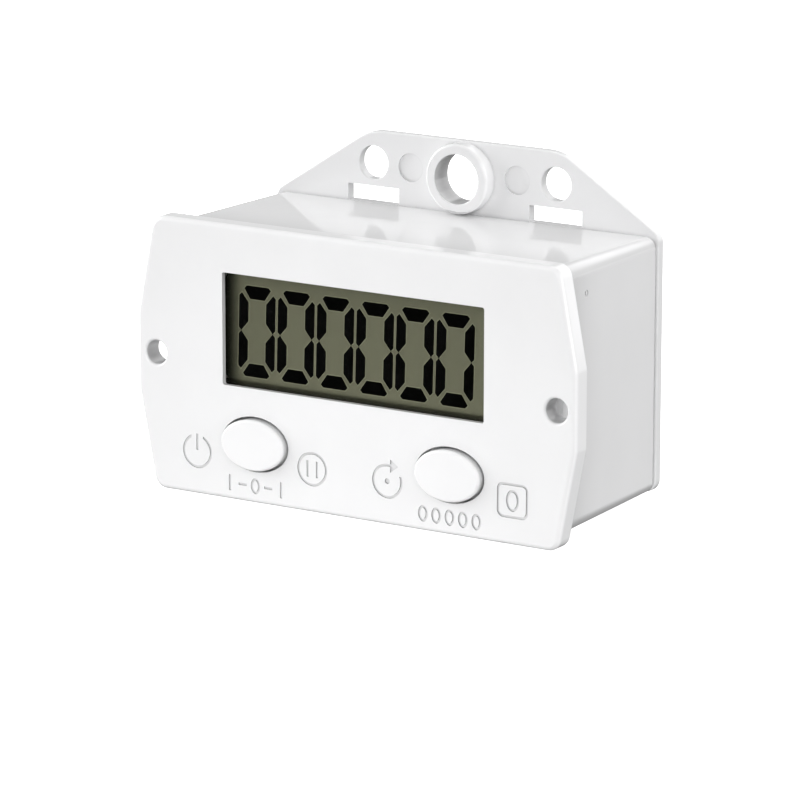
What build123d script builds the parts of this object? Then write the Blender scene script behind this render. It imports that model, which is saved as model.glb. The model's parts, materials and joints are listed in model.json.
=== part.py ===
from build123d import *
import math
import os

# Panel-mounted electronic row counter: a flanged front with a six-digit display and two buttons,
# a box behind it, and a rear cover that rises into a hanging lug.
# Millimetres. X runs to the right across the front, Z runs up, and the front looks along -Y.
# The origin is midway between the two panel screw holes, on the back face of the flange.

# ---------------------------------------------------------------- driving dimensions

# front panel (flange)
PANEL_HEIGHT = 36.0
PANEL_TOP_WIDTH = 60.0
PANEL_EAR_WIDTH = 65.0
EAR_STRAIGHT_HEIGHT = 10.0
PANEL_THICKNESS = 2.9
PANEL_CORNER_RADIUS = 1.8
EAR_CORNER_RADIUS = 2.0
FRONT_EDGE_RADIUS = 0.65
BACK_EDGE_RADIUS = 0.25
EAR_HOLE_SPACING = 59.4
EAR_HOLE_RADIUS = 1.55
EAR_HOLE_EDGE_RADIUS = 0.4

# box behind the panel: sizes at its mouth, from where it widens towards the panel by the draft angle
BOX_WIDTH = 57.0
BOX_HEIGHT = 33.4
BOX_DEPTH = 24.3
BOX_DRAFT = 1.1
BOX_CORNER_RADIUS = 1.45
BOX_MOUTH_RADIUS = 0.3
WALL = 1.4
INNER_CORNER_RADIUS = 0.5
FRONT_WALL = 2.0
EMBED = 0.5
POST_SIZE = 5.9
POST_SPREAD = 1.1
POST_CORNER_RADIUS = 2.0
POST_HOLE_RADIUS = 0.95
POST_HOLE_DEPTH = 9.5
BOARD_BOSS_RADIUS = 1.7
BOARD_BOSS_HOLE_RADIUS = 0.75
BOARD_BOSS_HOLE_DEPTH = 4.5
RIB_SPACING = 34.0
RIB_THICKNESS = 1.2
RIB_TIP = 5.5
RIB_SPAN = (8.0, 15.0)
RAIL_SPAN = (12.0, 22.0)
RAIL_SIZE = 1.0
RAIL_EMBED = 0.1
RAIL_LIP = 0.4
RAIL_GRIP = 0.6

# moulding mark on the right side wall
GATE_MARK_PLACE = (5.9, 13.05)
GATE_MARK_RADIUS = 0.42
GATE_MARK_LINE = 0.18
GATE_MARK_DEPTH = 0.12

# engraved pictograms beside and under the buttons
ENGRAVING_DEPTH = 0.25
ENGRAVING_LINE = 0.34
PICTOGRAM_SIZE = 4.5
PICTOGRAM_HEIGHT = -12.25
PICTOGRAM_PLACES = {"standby": -23.4, "pause": -5.85, "again": 5.35, "nought": 23.6}
LEGEND_HEIGHT = -15.7
LEGEND_SIZE = 2.1
LEGEND_PITCH = 1.95

# rear cover and its hanging lug
COVER_WIDTH = 57.6
COVER_THICKNESS = 1.4
COVER_CORNER_RADIUS = 1.6
COVER_EDGE_RADIUS = 0.25
LUG_TOP = 26.25
LUG_TOP_WIDTH = 28.7
LUG_SHOULDER_HEIGHT = 16.9
LUG_TOP_RADIUS = 7.0
LUG_HOLE_SPACING = 27.5
LUG_HOLE_HEIGHT = 22.0
LUG_HOLE_RADIUS = 2.2
LUG_HOLE_EDGE_RADIUS = 0.2
BOSS_HEIGHT = 21.5
BOSS_RADIUS = 4.6
BOSS_BORE_RADIUS = 3.25
BOSS_LENGTH = 2.0
BOSS_EDGE_RADIUS = 0.4
BORE_EDGE_RADIUS = 0.2
SLOT_SPACING = 27.45
SLOT_WIDTH = 7.8
SLOT_HEIGHT = 2.2
MARK_SPACING = 16.0
MARK_HEIGHT = 21.9
MARK_RADIUS = 1.9
MARK_DEPTH = 0.3
COVER_LIP_LENGTH = 40.0
COVER_LIP_THICKNESS = 1.0
COVER_LIP_DEPTH = 1.6
COVER_LIP_GAP = 0.15
SADDLE_SPACING = 26.0
SADDLE_THICKNESS = 1.5
SADDLE_HEIGHT = 16.4
SADDLE_DEPTH = 5.8

# display window and digits
WINDOW_WIDTH = 38.8
WINDOW_HEIGHT = 14.7
WINDOW_CENTRE = 4.4
WINDOW_CORNER_RADIUS = 0.3
WINDOW_RIM = 0.7
DIGIT_COUNT = 6
DIGIT_PITCH = 5.89
DIGIT_WIDTH = 5.5
DIGIT_HEIGHT = 11.87
DIGIT_CENTRE = (-0.48, 4.1)
DIGIT_LEAN = 0.027
BAR_STROKE = 1.7
UPRIGHT_STROKE = 1.4
UPRIGHT_CENTRE = 2.5
SEGMENT_TIP = 0.38

# display stack, front to back
GLASS_WIDTH = 41.6
GLASS_HEIGHT = 19.4
LEDGE = 2.0
POLARISER = 0.2
GLASS = 0.7
CELL_GAP = 0.1
REFLECTOR = 0.25
SEAL_WIDTH = 0.8
FILM_MARGIN = 0.5
POCKET_CLEARANCE = 0.1
ZEBRA_LENGTH = 40.0
ZEBRA_HEIGHT = 1.6
FRAME_MARGIN = (0.7, 0.6)
FRAME_WEB = 1.0

# buttons
BUTTON_SPACING = 29.0
BUTTON_HEIGHT = -10.2
OPENING_HALF_WIDTH = 5.05
OPENING_HALF_HEIGHT = 3.64
CAP_CLEARANCE = 0.3
CAP_PROUD = 0.9
CAP_EDGE_RADIUS = 0.35
CAP_FLANGE_LIP = 0.65
CAP_FLANGE_THICKNESS = 0.8
CAP_SKIN = 1.0
CAP_STEM_RADIUS = 1.6
CAP_STEM_REACH = 0.45
BUTTON_TRAVEL = 0.8
SLIP_GAP = 0.05
BOOT_CROWN_RADIUS = 2.1
BOOT_BASE_RADIUS = 3.9
BOOT_BASE_WIDTH = 0.9
BOOT_BASE_HEIGHT = 0.6
BOOT_SKIRT = 0.2
PILL_RADIUS = 1.5
PILL_THICKNESS = 0.5
KEY_PAD_RADIUS = 2.2
KEY_PAD_SPLIT = 0.4
KEY_PAD_THICKNESS = 0.05

# circuit board and battery
BOARD_FRONT = 4.0
BOARD_THICKNESS = 1.6
BOARD_WIDTH = 53.4
BOARD_HEIGHT = 30.2
BOARD_SCREW_SPACING = (48.6, 13.0)
BOARD_NOTCH = 5.0
BOARD_SLOT = (0.8, 3.0)
BOARD_SCREW_HOLE_RADIUS = 1.1
POST_SPACING = (49.0, 25.6)
CELL_RADIUS = 7.25
CELL_LENGTH = 49.8
CELL_DEPTH = 16.65
CELL_NUB = 1.0
CELL_NUB_RADIUS = 2.65
CELL_CLEARANCE = 0.1
SLEEVE_THICKNESS = 0.2
SLEEVE_MARGIN = 0.8
CAP_DISC_RADIUS = 5.6
CAP_DISC_THICKNESS = 0.6
CONTACT_THICKNESS = 0.4
CONTACT_HALF_WIDTH = 5.0
CONTACT_LENGTH = 13.0
CONTACT_TAIL_WIDTH = 2.0
CONTACT_TAIL_FRONT = 4.0
DIMPLE_RADIUS = 2.4
DIMPLE_HEIGHT = 0.85
SPRING_RADIUS = 4.2
SPRING_TURNS = 2.25
SPRING_CONE = -42
SPRING_WIRE_RADIUS = 0.3
SOLDER_SIZE = (1.2, 1.1)
SOLDER_WIDTH = 1.8

# parts on the back of the board, each place as (x, z)
CHIP_PLACE = (-6.0, 3.5)
CHIP_RADIUS = 4.6
CHIP_HEIGHT = 1.5
CRYSTAL_START = (4.5, 4.0)
CRYSTAL_RADIUS = 1.05
CRYSTAL_LENGTH = 6.0
CAPACITOR_START = (5.0, 12.0)
CAPACITOR_RADIUS = 2.0
CAPACITOR_LENGTH = 7.0
CHIP_CAPACITOR_PLACES = [(-14.0, 5.5), (-14.0, 2.5), (1.5, -1.5), (13.5, 4.0)]
CHIP_RESISTOR_PLACES = [(-14.0, -1.0), (-9.0, -4.5), (-5.0, -4.5), (7.0, -4.5), (13.5, -2.0)]
CHIP_SIZE = (2.0, 1.25)
CHIP_CAPACITOR_HEIGHT = 0.9
CHIP_RESISTOR_HEIGHT = 0.5
REED_LEVEL = -12.4
REED_STANDOFF = 1.7
REED_RADIUS = 1.1
REED_WALL = 0.3
REED_PLUG = 0.8
REED_HALF_LENGTH = 6.5
LEAD_RADIUS = 0.25
LEAD_REACH = 8.5
BLADE_OFFSET = 0.28

# fasteners
BOARD_SCREW_HEAD_RADIUS = 1.75
BOARD_SCREW_HEAD_HEIGHT = 1.2
BOARD_SCREW_HEAD_EDGE = 0.4
BOARD_SCREW_RADIUS = 0.7
BOARD_SCREW_REACH = 4.0
BOARD_SCREW_CROSS = (2.0, 0.45, 0.6)
COVER_SCREW_HEAD_RADIUS = 2.05
COVER_SCREW_HEAD_HEIGHT = 0.9
COVER_SCREW_RADIUS = 0.9
COVER_SCREW_LENGTH = 9.0
COVER_SCREW_CROSS = (2.4, 0.5, 0.7)
COVER_SEAT_CLEARANCE = 0.05
COVER_HOLE_RADIUS = 1.2

# ---------------------------------------------------------------- places worked out from them

PANEL_FRONT = -PANEL_THICKNESS
WALL_BACK = PANEL_FRONT + FRONT_WALL
INNER_WIDTH = BOX_WIDTH - 2 * WALL
INNER_HEIGHT = BOX_HEIGHT - 2 * WALL
COVER_BACK = BOX_DEPTH + COVER_THICKNESS
BOARD_BACK = BOARD_FRONT + BOARD_THICKNESS

POLARISER_FRONT = PANEL_FRONT + WINDOW_RIM
FRONT_GLASS_FRONT = POLARISER_FRONT + POLARISER
CELL_GAP_FRONT = FRONT_GLASS_FRONT + GLASS
REAR_GLASS_FRONT = CELL_GAP_FRONT + CELL_GAP
REFLECTOR_FRONT = REAR_GLASS_FRONT + GLASS
REFLECTOR_BACK = REFLECTOR_FRONT + REFLECTOR
REAR_GLASS_HEIGHT = GLASS_HEIGHT - 2 * LEDGE

CAP_HALF_WIDTH = OPENING_HALF_WIDTH - CAP_CLEARANCE
CAP_HALF_HEIGHT = OPENING_HALF_HEIGHT - CAP_CLEARANCE
CAP_FRONT = PANEL_FRONT - CAP_PROUD
CAP_FLANGE_FRONT = WALL_BACK + SLIP_GAP
CAP_FLANGE_BACK = CAP_FLANGE_FRONT + CAP_FLANGE_THICKNESS
STEM_BACK = CAP_FLANGE_BACK + CAP_STEM_REACH
PILL_BACK = BOARD_FRONT - KEY_PAD_THICKNESS - BUTTON_TRAVEL - SLIP_GAP
PILL_FRONT = PILL_BACK - PILL_THICKNESS
ZEBRA_SPACING = GLASS_HEIGHT - LEDGE

CONTACT_INNER = INNER_WIDTH / 2 - SLIP_GAP - CONTACT_THICKNESS
CELL_TIP = CONTACT_INNER - DIMPLE_HEIGHT
CELL_TAIL = CELL_TIP - CELL_LENGTH
CELL_SHOULDER = CELL_TIP - CELL_NUB
REED_DEPTH = BOARD_BACK + REED_STANDOFF

os.makedirs("parts", exist_ok=True)


def facing(depth):
    """Plane seen from the front at this depth; extruding towards the front is positive."""
    return Plane(origin=(0, depth, 0), x_dir=(1, 0, 0), z_dir=(0, -1, 0))


def side_on(x):
    """Plane seen from the right at this x, with Y to its right; extruding towards +X is positive."""
    return Plane(origin=(x, 0, 0), x_dir=(0, 1, 0), z_dir=(1, 0, 0))


def panel_outline():
    """Octagon with long top and bottom edges and a short straight ear at each side."""
    top, ear = PANEL_TOP_WIDTH / 2, PANEL_EAR_WIDTH / 2
    high, low = PANEL_HEIGHT / 2, EAR_STRAIGHT_HEIGHT / 2
    with BuildSketch() as outline:
        with BuildLine():
            Polyline(
                (top, -high), (ear, -low), (ear, low), (top, high),
                (-top, high), (-ear, low), (-ear, -low), (-top, -high),
                close=True,
            )
        make_face()
        corners = outline.vertices().group_by(Axis.Y)
        fillet(corners[0] + corners[-1], PANEL_CORNER_RADIUS)
        ears = outline.vertices().filter_by(lambda v: abs(abs(v.X) - ear) < 0.01)
        fillet(ears, EAR_CORNER_RADIUS)
    return outline.sketch


def cover_outline():
    """Rectangle of the box, rising into a trapezoid lug with rounded shoulders."""
    side, bottom, flat = COVER_WIDTH / 2, -BOX_HEIGHT / 2, LUG_TOP_WIDTH / 2
    with BuildSketch() as outline:
        with BuildLine():
            Polyline(
                (-side, bottom), (side, bottom), (side, LUG_SHOULDER_HEIGHT),
                (flat, LUG_TOP), (-flat, LUG_TOP), (-side, LUG_SHOULDER_HEIGHT),
                close=True,
            )
        make_face()
        levels = outline.vertices().group_by(Axis.Y)
        fillet(levels[0] + levels[1], COVER_CORNER_RADIUS)
        fillet(outline.vertices().group_by(Axis.Y)[-1], LUG_TOP_RADIUS)
    return outline.sketch


def segment_corners(outer_half, tip, stroke, inner_half):
    """Corners of one display segment as pairs: along it, and inward from its outer edge."""
    return [
        (-outer_half - tip, tip), (-outer_half, 0), (outer_half, 0),
        (outer_half + tip, tip), (inner_half, stroke), (-inner_half, stroke),
    ]


def digit_zero():
    """The six outer segments of a figure nought, centred on the origin and leaning to the right."""
    bar = segment_corners(1.62, SEGMENT_TIP, BAR_STROKE, 1.08)
    upright = segment_corners(2.08, SEGMENT_TIP, UPRIGHT_STROKE, 1.25)
    segments = []
    for end in (-1, 1):
        segments.append([(along, end * (DIGIT_HEIGHT / 2 - inward)) for along, inward in bar])
        for side in (-1, 1):
            segments.append([
                (side * (DIGIT_WIDTH / 2 - inward), end * UPRIGHT_CENTRE + along)
                for along, inward in upright
            ])
    with BuildSketch() as digit:
        for corners in segments:
            with BuildLine():
                Polyline([(x + z * DIGIT_LEAN, z) for x, z in corners], close=True)
            make_face()
    return digit.sketch


def ellipse_prism(front, back, half_width, half_height):
    """Elliptical prism between two depths, centred on X = Z = 0."""
    with BuildPart() as prism:
        with BuildSketch(facing(back)):
            Ellipse(half_width, half_height)
        extrude(amount=back - front)
    return prism.part


def ring(radius, line=ENGRAVING_LINE):
    """Ring of a given line width around the current location of a sketch."""
    Circle(radius)
    Circle(radius - line, mode=Mode.SUBTRACT)


def pictogram(kind):
    """One engraved pictogram in a square of PICTOGRAM_SIZE, centred on the origin."""
    half = PICTOGRAM_SIZE / 2
    with BuildSketch() as sign:
        if kind == "nought":
            # upright oval in a rounded frame
            RectangleRounded(PICTOGRAM_SIZE, PICTOGRAM_SIZE, 0.9)
            inner = PICTOGRAM_SIZE - 2 * ENGRAVING_LINE
            RectangleRounded(inner, inner, 0.9 - ENGRAVING_LINE, mode=Mode.SUBTRACT)
            Ellipse(0.42 * half, 0.62 * half)
            Ellipse(0.42 * half - ENGRAVING_LINE, 0.62 * half - ENGRAVING_LINE, mode=Mode.SUBTRACT)
        else:
            ring(half)
        if kind == "standby":
            # ring open at the top, with an upright bar in the gap
            with Locations((0, half)):
                Rectangle(0.8 * half, half, mode=Mode.SUBTRACT)
            with Locations((0, 0.55 * half)):
                Rectangle(ENGRAVING_LINE, 0.95 * half)
        if kind == "pause":
            # two upright bars in a ring
            with GridLocations(0.62 * half, 0, 2, 1):
                Rectangle(ENGRAVING_LINE, 0.95 * half)
        if kind == "again":
            # ring open at the upper right, with an arrow head at the end of the gap
            with Locations((0.6 * half, 0.75 * half)):
                Rectangle(0.7 * half, 0.8 * half, mode=Mode.SUBTRACT)
            head_x, head_low, head_high = 0.18 * half, 0.5 * half, 1.28 * half
            with BuildLine():
                Polyline((head_x, head_high), (head_x, head_low), (4 * head_x, 0.9 * half), close=True)
            make_face()
            Circle(0.16 * half)
    return sign.sketch


def legend(marks):
    """Row of small marks: i for an upright bar, - for a level bar, o for an upright oval."""
    with BuildSketch() as row:
        for mark, place in zip(marks, GridLocations(LEGEND_PITCH, 0, len(marks), 1)):
            with Locations(place):
                if mark == "i":
                    Rectangle(ENGRAVING_LINE, LEGEND_SIZE)
                if mark == "-":
                    Rectangle(0.6 * LEGEND_SIZE, ENGRAVING_LINE)
                if mark == "o":
                    half_width, half_height = 0.34 * LEGEND_SIZE, 0.5 * LEGEND_SIZE
                    Ellipse(half_width, half_height)
                    Ellipse(half_width - ENGRAVING_LINE, half_height - ENGRAVING_LINE, mode=Mode.SUBTRACT)
    return row.sketch


# ---------------------------------------------------------------- front housing

with BuildPart() as front_housing:
    # flanged panel with a rounded front edge
    with BuildSketch(facing(0)):
        add(panel_outline())
    extrude(amount=PANEL_THICKNESS)
    fillet(front_housing.faces().sort_by(Axis.Y)[0].edges(), FRONT_EDGE_RADIUS)
    fillet(front_housing.faces().sort_by(Axis.Y)[-1].edges(), BACK_EDGE_RADIUS)
    # box walls
    with BuildSketch(facing(BOX_DEPTH)):
        RectangleRounded(BOX_WIDTH, BOX_HEIGHT, BOX_CORNER_RADIUS)
    extrude(amount=BOX_DEPTH, taper=-BOX_DRAFT)
    fillet(front_housing.faces().sort_by(Axis.Y)[-1].edges(), BOX_MOUTH_RADIUS)
    with BuildSketch(facing(BOX_DEPTH)):
        RectangleRounded(INNER_WIDTH, INNER_HEIGHT, INNER_CORNER_RADIUS)
    extrude(amount=BOX_DEPTH - WALL_BACK, mode=Mode.SUBTRACT)
    # corner posts for the cover screws
    with BuildSketch(facing(BOX_DEPTH)):
        with GridLocations(POST_SPACING[0] + POST_SPREAD, POST_SPACING[1] + POST_SPREAD, 2, 2):
            RectangleRounded(POST_SIZE, POST_SIZE, POST_CORNER_RADIUS)
    extrude(amount=BOX_DEPTH - WALL_BACK)
    with BuildSketch(facing(BOX_DEPTH)):
        with GridLocations(*POST_SPACING, 2, 2):
            Circle(POST_HOLE_RADIUS)
    extrude(amount=POST_HOLE_DEPTH, mode=Mode.SUBTRACT)
    # bosses for the board screws
    with BuildSketch(facing(BOARD_FRONT)):
        with GridLocations(*BOARD_SCREW_SPACING, 2, 2):
            Circle(BOARD_BOSS_RADIUS)
    extrude(amount=BOARD_FRONT - WALL_BACK)
    with BuildSketch(facing(BOARD_FRONT)):
        with GridLocations(*BOARD_SCREW_SPACING, 2, 2):
            Circle(BOARD_BOSS_HOLE_RADIUS)
    extrude(amount=BOARD_BOSS_HOLE_DEPTH, mode=Mode.SUBTRACT)
    # ribs that hold the battery cell from the front, above and below
    rib_height = INNER_HEIGHT / 2 + EMBED - RIB_TIP
    with BuildSketch(facing(RIB_SPAN[1])):
        with GridLocations(RIB_SPACING, 2 * RIB_TIP + rib_height, 2, 2):
            Rectangle(RIB_THICKNESS, rib_height)
    extrude(amount=RIB_SPAN[1] - RIB_SPAN[0])
    rib_reach = RIB_SPACING / 2 + RIB_THICKNESS
    with BuildSketch(side_on(-rib_reach)):
        with Locations((CELL_DEPTH, 0)):
            Circle(CELL_RADIUS + CELL_CLEARANCE)
    extrude(amount=2 * rib_reach, mode=Mode.SUBTRACT)
    # lipped rails on the side walls that hold the battery contacts
    rail_level = CONTACT_HALF_WIDTH + POCKET_CLEARANCE + RAIL_SIZE / 2
    lip_level = rail_level - RAIL_GRIP / 2
    with BuildSketch(facing(RAIL_SPAN[1])):
        with GridLocations(INNER_WIDTH - RAIL_SIZE + 2 * RAIL_EMBED, 2 * rail_level, 2, 2):
            Rectangle(RAIL_SIZE, RAIL_SIZE)
        with GridLocations(2 * (CONTACT_INNER - SLIP_GAP) - RAIL_LIP, 2 * lip_level, 2, 2):
            Rectangle(RAIL_LIP, RAIL_SIZE + RAIL_GRIP)
    extrude(amount=RAIL_SPAN[1] - RAIL_SPAN[0])
    # display window, and the pocket that seats the glass behind its rim
    with BuildSketch(facing(PANEL_FRONT)):
        with Locations((0, WINDOW_CENTRE)):
            RectangleRounded(WINDOW_WIDTH, WINDOW_HEIGHT, WINDOW_CORNER_RADIUS)
    extrude(amount=-FRONT_WALL, mode=Mode.SUBTRACT)
    with BuildSketch(facing(POLARISER_FRONT)):
        with Locations((0, WINDOW_CENTRE)):
            Rectangle(GLASS_WIDTH + 2 * POCKET_CLEARANCE, GLASS_HEIGHT + 2 * POCKET_CLEARANCE)
    extrude(amount=POLARISER_FRONT - WALL_BACK, mode=Mode.SUBTRACT)
    # button openings
    with BuildSketch(facing(PANEL_FRONT)):
        with Locations((-BUTTON_SPACING / 2, BUTTON_HEIGHT), (BUTTON_SPACING / 2, BUTTON_HEIGHT)):
            Ellipse(OPENING_HALF_WIDTH, OPENING_HALF_HEIGHT)
    extrude(amount=-FRONT_WALL, mode=Mode.SUBTRACT)
    # panel screw holes
    with BuildSketch(facing(PANEL_FRONT)):
        with Locations((-EAR_HOLE_SPACING / 2, 0), (EAR_HOLE_SPACING / 2, 0)):
            Circle(EAR_HOLE_RADIUS)
    extrude(amount=-PANEL_THICKNESS, mode=Mode.SUBTRACT)
    rims = front_housing.faces().sort_by(Axis.Y)[0].edges().filter_by(GeomType.CIRCLE)
    fillet(rims.filter_by(lambda rim: abs(rim.radius - EAR_HOLE_RADIUS) < 0.01), EAR_HOLE_EDGE_RADIUS)
    # engraved pictograms, and a legend of small marks under each button
    with BuildSketch(facing(PANEL_FRONT)):
        for kind, x in PICTOGRAM_PLACES.items():
            with Locations((x, PICTOGRAM_HEIGHT)):
                add(pictogram(kind))
        with Locations((-BUTTON_SPACING / 2, LEGEND_HEIGHT)):
            add(legend("i-o-i"))
        with Locations((BUTTON_SPACING / 2, LEGEND_HEIGHT)):
            add(legend("ooooo"))
    extrude(amount=-ENGRAVING_DEPTH, mode=Mode.SUBTRACT)
    # small round moulding mark on the right side wall
    draft_growth = (BOX_DEPTH - GATE_MARK_PLACE[0]) * math.tan(math.radians(BOX_DRAFT))
    with BuildSketch(side_on(BOX_WIDTH / 2 + draft_growth)):
        with Locations(GATE_MARK_PLACE):
            ring(GATE_MARK_RADIUS, GATE_MARK_LINE)
    extrude(amount=GATE_MARK_DEPTH, both=True, mode=Mode.SUBTRACT)

front_housing.part.label = "front_housing"
export_step(front_housing.part, "parts/front_housing.step")

# ---------------------------------------------------------------- rear cover

with BuildPart() as rear_cover:
    with BuildSketch(facing(COVER_BACK)):
        add(cover_outline())
    extrude(amount=COVER_THICKNESS)
    fillet(rear_cover.edges().filter_by(Axis.Y, reverse=True), COVER_EDGE_RADIUS)
    # tubular boss and its bore
    with BuildSketch(facing(BOX_DEPTH)):
        with Locations((0, BOSS_HEIGHT)):
            Circle(BOSS_RADIUS)
    extrude(amount=BOSS_LENGTH)
    fillet(rear_cover.faces().sort_by(Axis.Y)[0].edges(), BOSS_EDGE_RADIUS)
    with BuildSketch(facing(BOX_DEPTH - BOSS_LENGTH)):
        with Locations((0, BOSS_HEIGHT)):
            Circle(BOSS_BORE_RADIUS)
    extrude(amount=-(BOSS_LENGTH + COVER_THICKNESS), mode=Mode.SUBTRACT)
    rims = rear_cover.faces().sort_by(Axis.Y)[0].edges().filter_by(GeomType.CIRCLE)
    fillet(rims.sort_by(SortBy.RADIUS)[0], BORE_EDGE_RADIUS)
    # lug holes and tie slots
    with BuildSketch(facing(BOX_DEPTH)):
        with Locations((-LUG_HOLE_SPACING / 2, LUG_HOLE_HEIGHT), (LUG_HOLE_SPACING / 2, LUG_HOLE_HEIGHT)):
            Circle(LUG_HOLE_RADIUS)
        slot_centre = BOX_HEIGHT / 2 + SLOT_HEIGHT / 2
        with Locations((-SLOT_SPACING / 2, slot_centre), (SLOT_SPACING / 2, slot_centre)):
            Rectangle(SLOT_WIDTH, SLOT_HEIGHT)
    extrude(amount=-COVER_THICKNESS, mode=Mode.SUBTRACT)
    holes = rear_cover.edges().filter_by(lambda rim: rim.geom_type == GeomType.CIRCLE)
    holes = holes.filter_by(lambda rim: abs(rim.radius - LUG_HOLE_RADIUS) < 0.01)
    fillet(holes.filter_by(lambda rim: rim.center().Y < BOX_DEPTH + 0.01), LUG_HOLE_EDGE_RADIUS)
    # shallow round marks between the holes and the boss
    with BuildSketch(facing(BOX_DEPTH)):
        with Locations((-MARK_SPACING / 2, MARK_HEIGHT), (MARK_SPACING / 2, MARK_HEIGHT)):
            Circle(MARK_RADIUS)
    extrude(amount=-MARK_DEPTH, mode=Mode.SUBTRACT)
    # lips that locate the cover in the mouth of the box
    with BuildSketch(facing(BOX_DEPTH)):
        for level in (-1, 1):
            with Locations((0, level * (INNER_HEIGHT / 2 - COVER_LIP_GAP - COVER_LIP_THICKNESS / 2))):
                Rectangle(COVER_LIP_LENGTH, COVER_LIP_THICKNESS)
    extrude(amount=COVER_LIP_DEPTH)
    # saddles that hold the battery cell from behind
    with BuildSketch(facing(BOX_DEPTH)):
        with GridLocations(SADDLE_SPACING, 0, 2, 1):
            Rectangle(SADDLE_THICKNESS, SADDLE_HEIGHT)
    extrude(amount=SADDLE_DEPTH)
    saddle_reach = SADDLE_SPACING / 2 + SADDLE_THICKNESS
    with BuildSketch(side_on(-saddle_reach)):
        with Locations((CELL_DEPTH, 0)):
            Circle(CELL_RADIUS + CELL_CLEARANCE)
    extrude(amount=2 * saddle_reach, mode=Mode.SUBTRACT)
    # countersunk holes for the cover screws
    with BuildSketch(facing(COVER_BACK)):
        with GridLocations(*POST_SPACING, 2, 2):
            Circle(COVER_SCREW_HEAD_RADIUS + COVER_SEAT_CLEARANCE)
    extrude(amount=COVER_SCREW_HEAD_HEIGHT, taper=45, mode=Mode.SUBTRACT)
    with BuildSketch(facing(COVER_BACK)):
        with GridLocations(*POST_SPACING, 2, 2):
            Circle(COVER_HOLE_RADIUS)
    extrude(amount=COVER_THICKNESS, mode=Mode.SUBTRACT)

rear_cover.part.label = "rear_cover"
export_step(rear_cover.part, "parts/rear_cover.step")

# ---------------------------------------------------------------- display stack


def display_layer(front, back, width, height):
    """Flat rectangular layer of the display between two depths."""
    with BuildPart() as layer:
        with BuildSketch(facing(back)):
            with Locations((0, WINDOW_CENTRE)):
                Rectangle(width, height)
        extrude(amount=back - front)
    return layer


film_width = GLASS_WIDTH - 2 * FILM_MARGIN
film_height = GLASS_HEIGHT - 2 * FILM_MARGIN
reflector_height = REAR_GLASS_HEIGHT - FILM_MARGIN

lcd_front_polariser = display_layer(POLARISER_FRONT, FRONT_GLASS_FRONT, film_width, film_height)
lcd_front_polariser.part.label = "lcd_front_polariser"
export_step(lcd_front_polariser.part, "parts/lcd_front_polariser.step")

lcd_front_glass = display_layer(FRONT_GLASS_FRONT, CELL_GAP_FRONT, GLASS_WIDTH, GLASS_HEIGHT)
lcd_front_glass.part.label = "lcd_front_glass"
export_step(lcd_front_glass.part, "parts/lcd_front_glass.step")

lcd_rear_glass = display_layer(REAR_GLASS_FRONT, REFLECTOR_FRONT, GLASS_WIDTH, REAR_GLASS_HEIGHT)
lcd_rear_glass.part.label = "lcd_rear_glass"
export_step(lcd_rear_glass.part, "parts/lcd_rear_glass.step")

lcd_reflector = display_layer(REFLECTOR_FRONT, REFLECTOR_BACK, film_width, reflector_height)
lcd_reflector.part.label = "lcd_reflector"
export_step(lcd_reflector.part, "parts/lcd_reflector.step")

with BuildPart() as lcd_seal:
    with BuildSketch(facing(REAR_GLASS_FRONT)):
        with Locations((0, WINDOW_CENTRE)):
            Rectangle(GLASS_WIDTH, REAR_GLASS_HEIGHT)
            Rectangle(GLASS_WIDTH - 2 * SEAL_WIDTH, REAR_GLASS_HEIGHT - 2 * SEAL_WIDTH, mode=Mode.SUBTRACT)
    extrude(amount=CELL_GAP)

lcd_seal.part.label = "lcd_seal"
export_step(lcd_seal.part, "parts/lcd_seal.step")

with BuildPart() as lcd_digits:
    with BuildSketch(facing(CELL_GAP_FRONT + CELL_GAP / 2)):
        with Locations(DIGIT_CENTRE):
            with GridLocations(DIGIT_PITCH, 0, DIGIT_COUNT, 1):
                add(digit_zero())
    extrude(amount=CELL_GAP / 2)

lcd_digits.part.label = "lcd_digits"
export_step(lcd_digits.part, "parts/lcd_digits.step")

# zebra strips press on the contact ledges above and below the rear glass
with BuildPart() as zebra_strips:
    with BuildSketch(facing(BOARD_FRONT)):
        with Locations((0, WINDOW_CENTRE)):
            with GridLocations(0, ZEBRA_SPACING, 1, 2):
                Rectangle(ZEBRA_LENGTH, ZEBRA_HEIGHT)
    extrude(amount=BOARD_FRONT - CELL_GAP_FRONT)

zebra_strips.part.label = "zebra_strips"
export_step(zebra_strips.part, "parts/zebra_strips.step")

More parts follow.
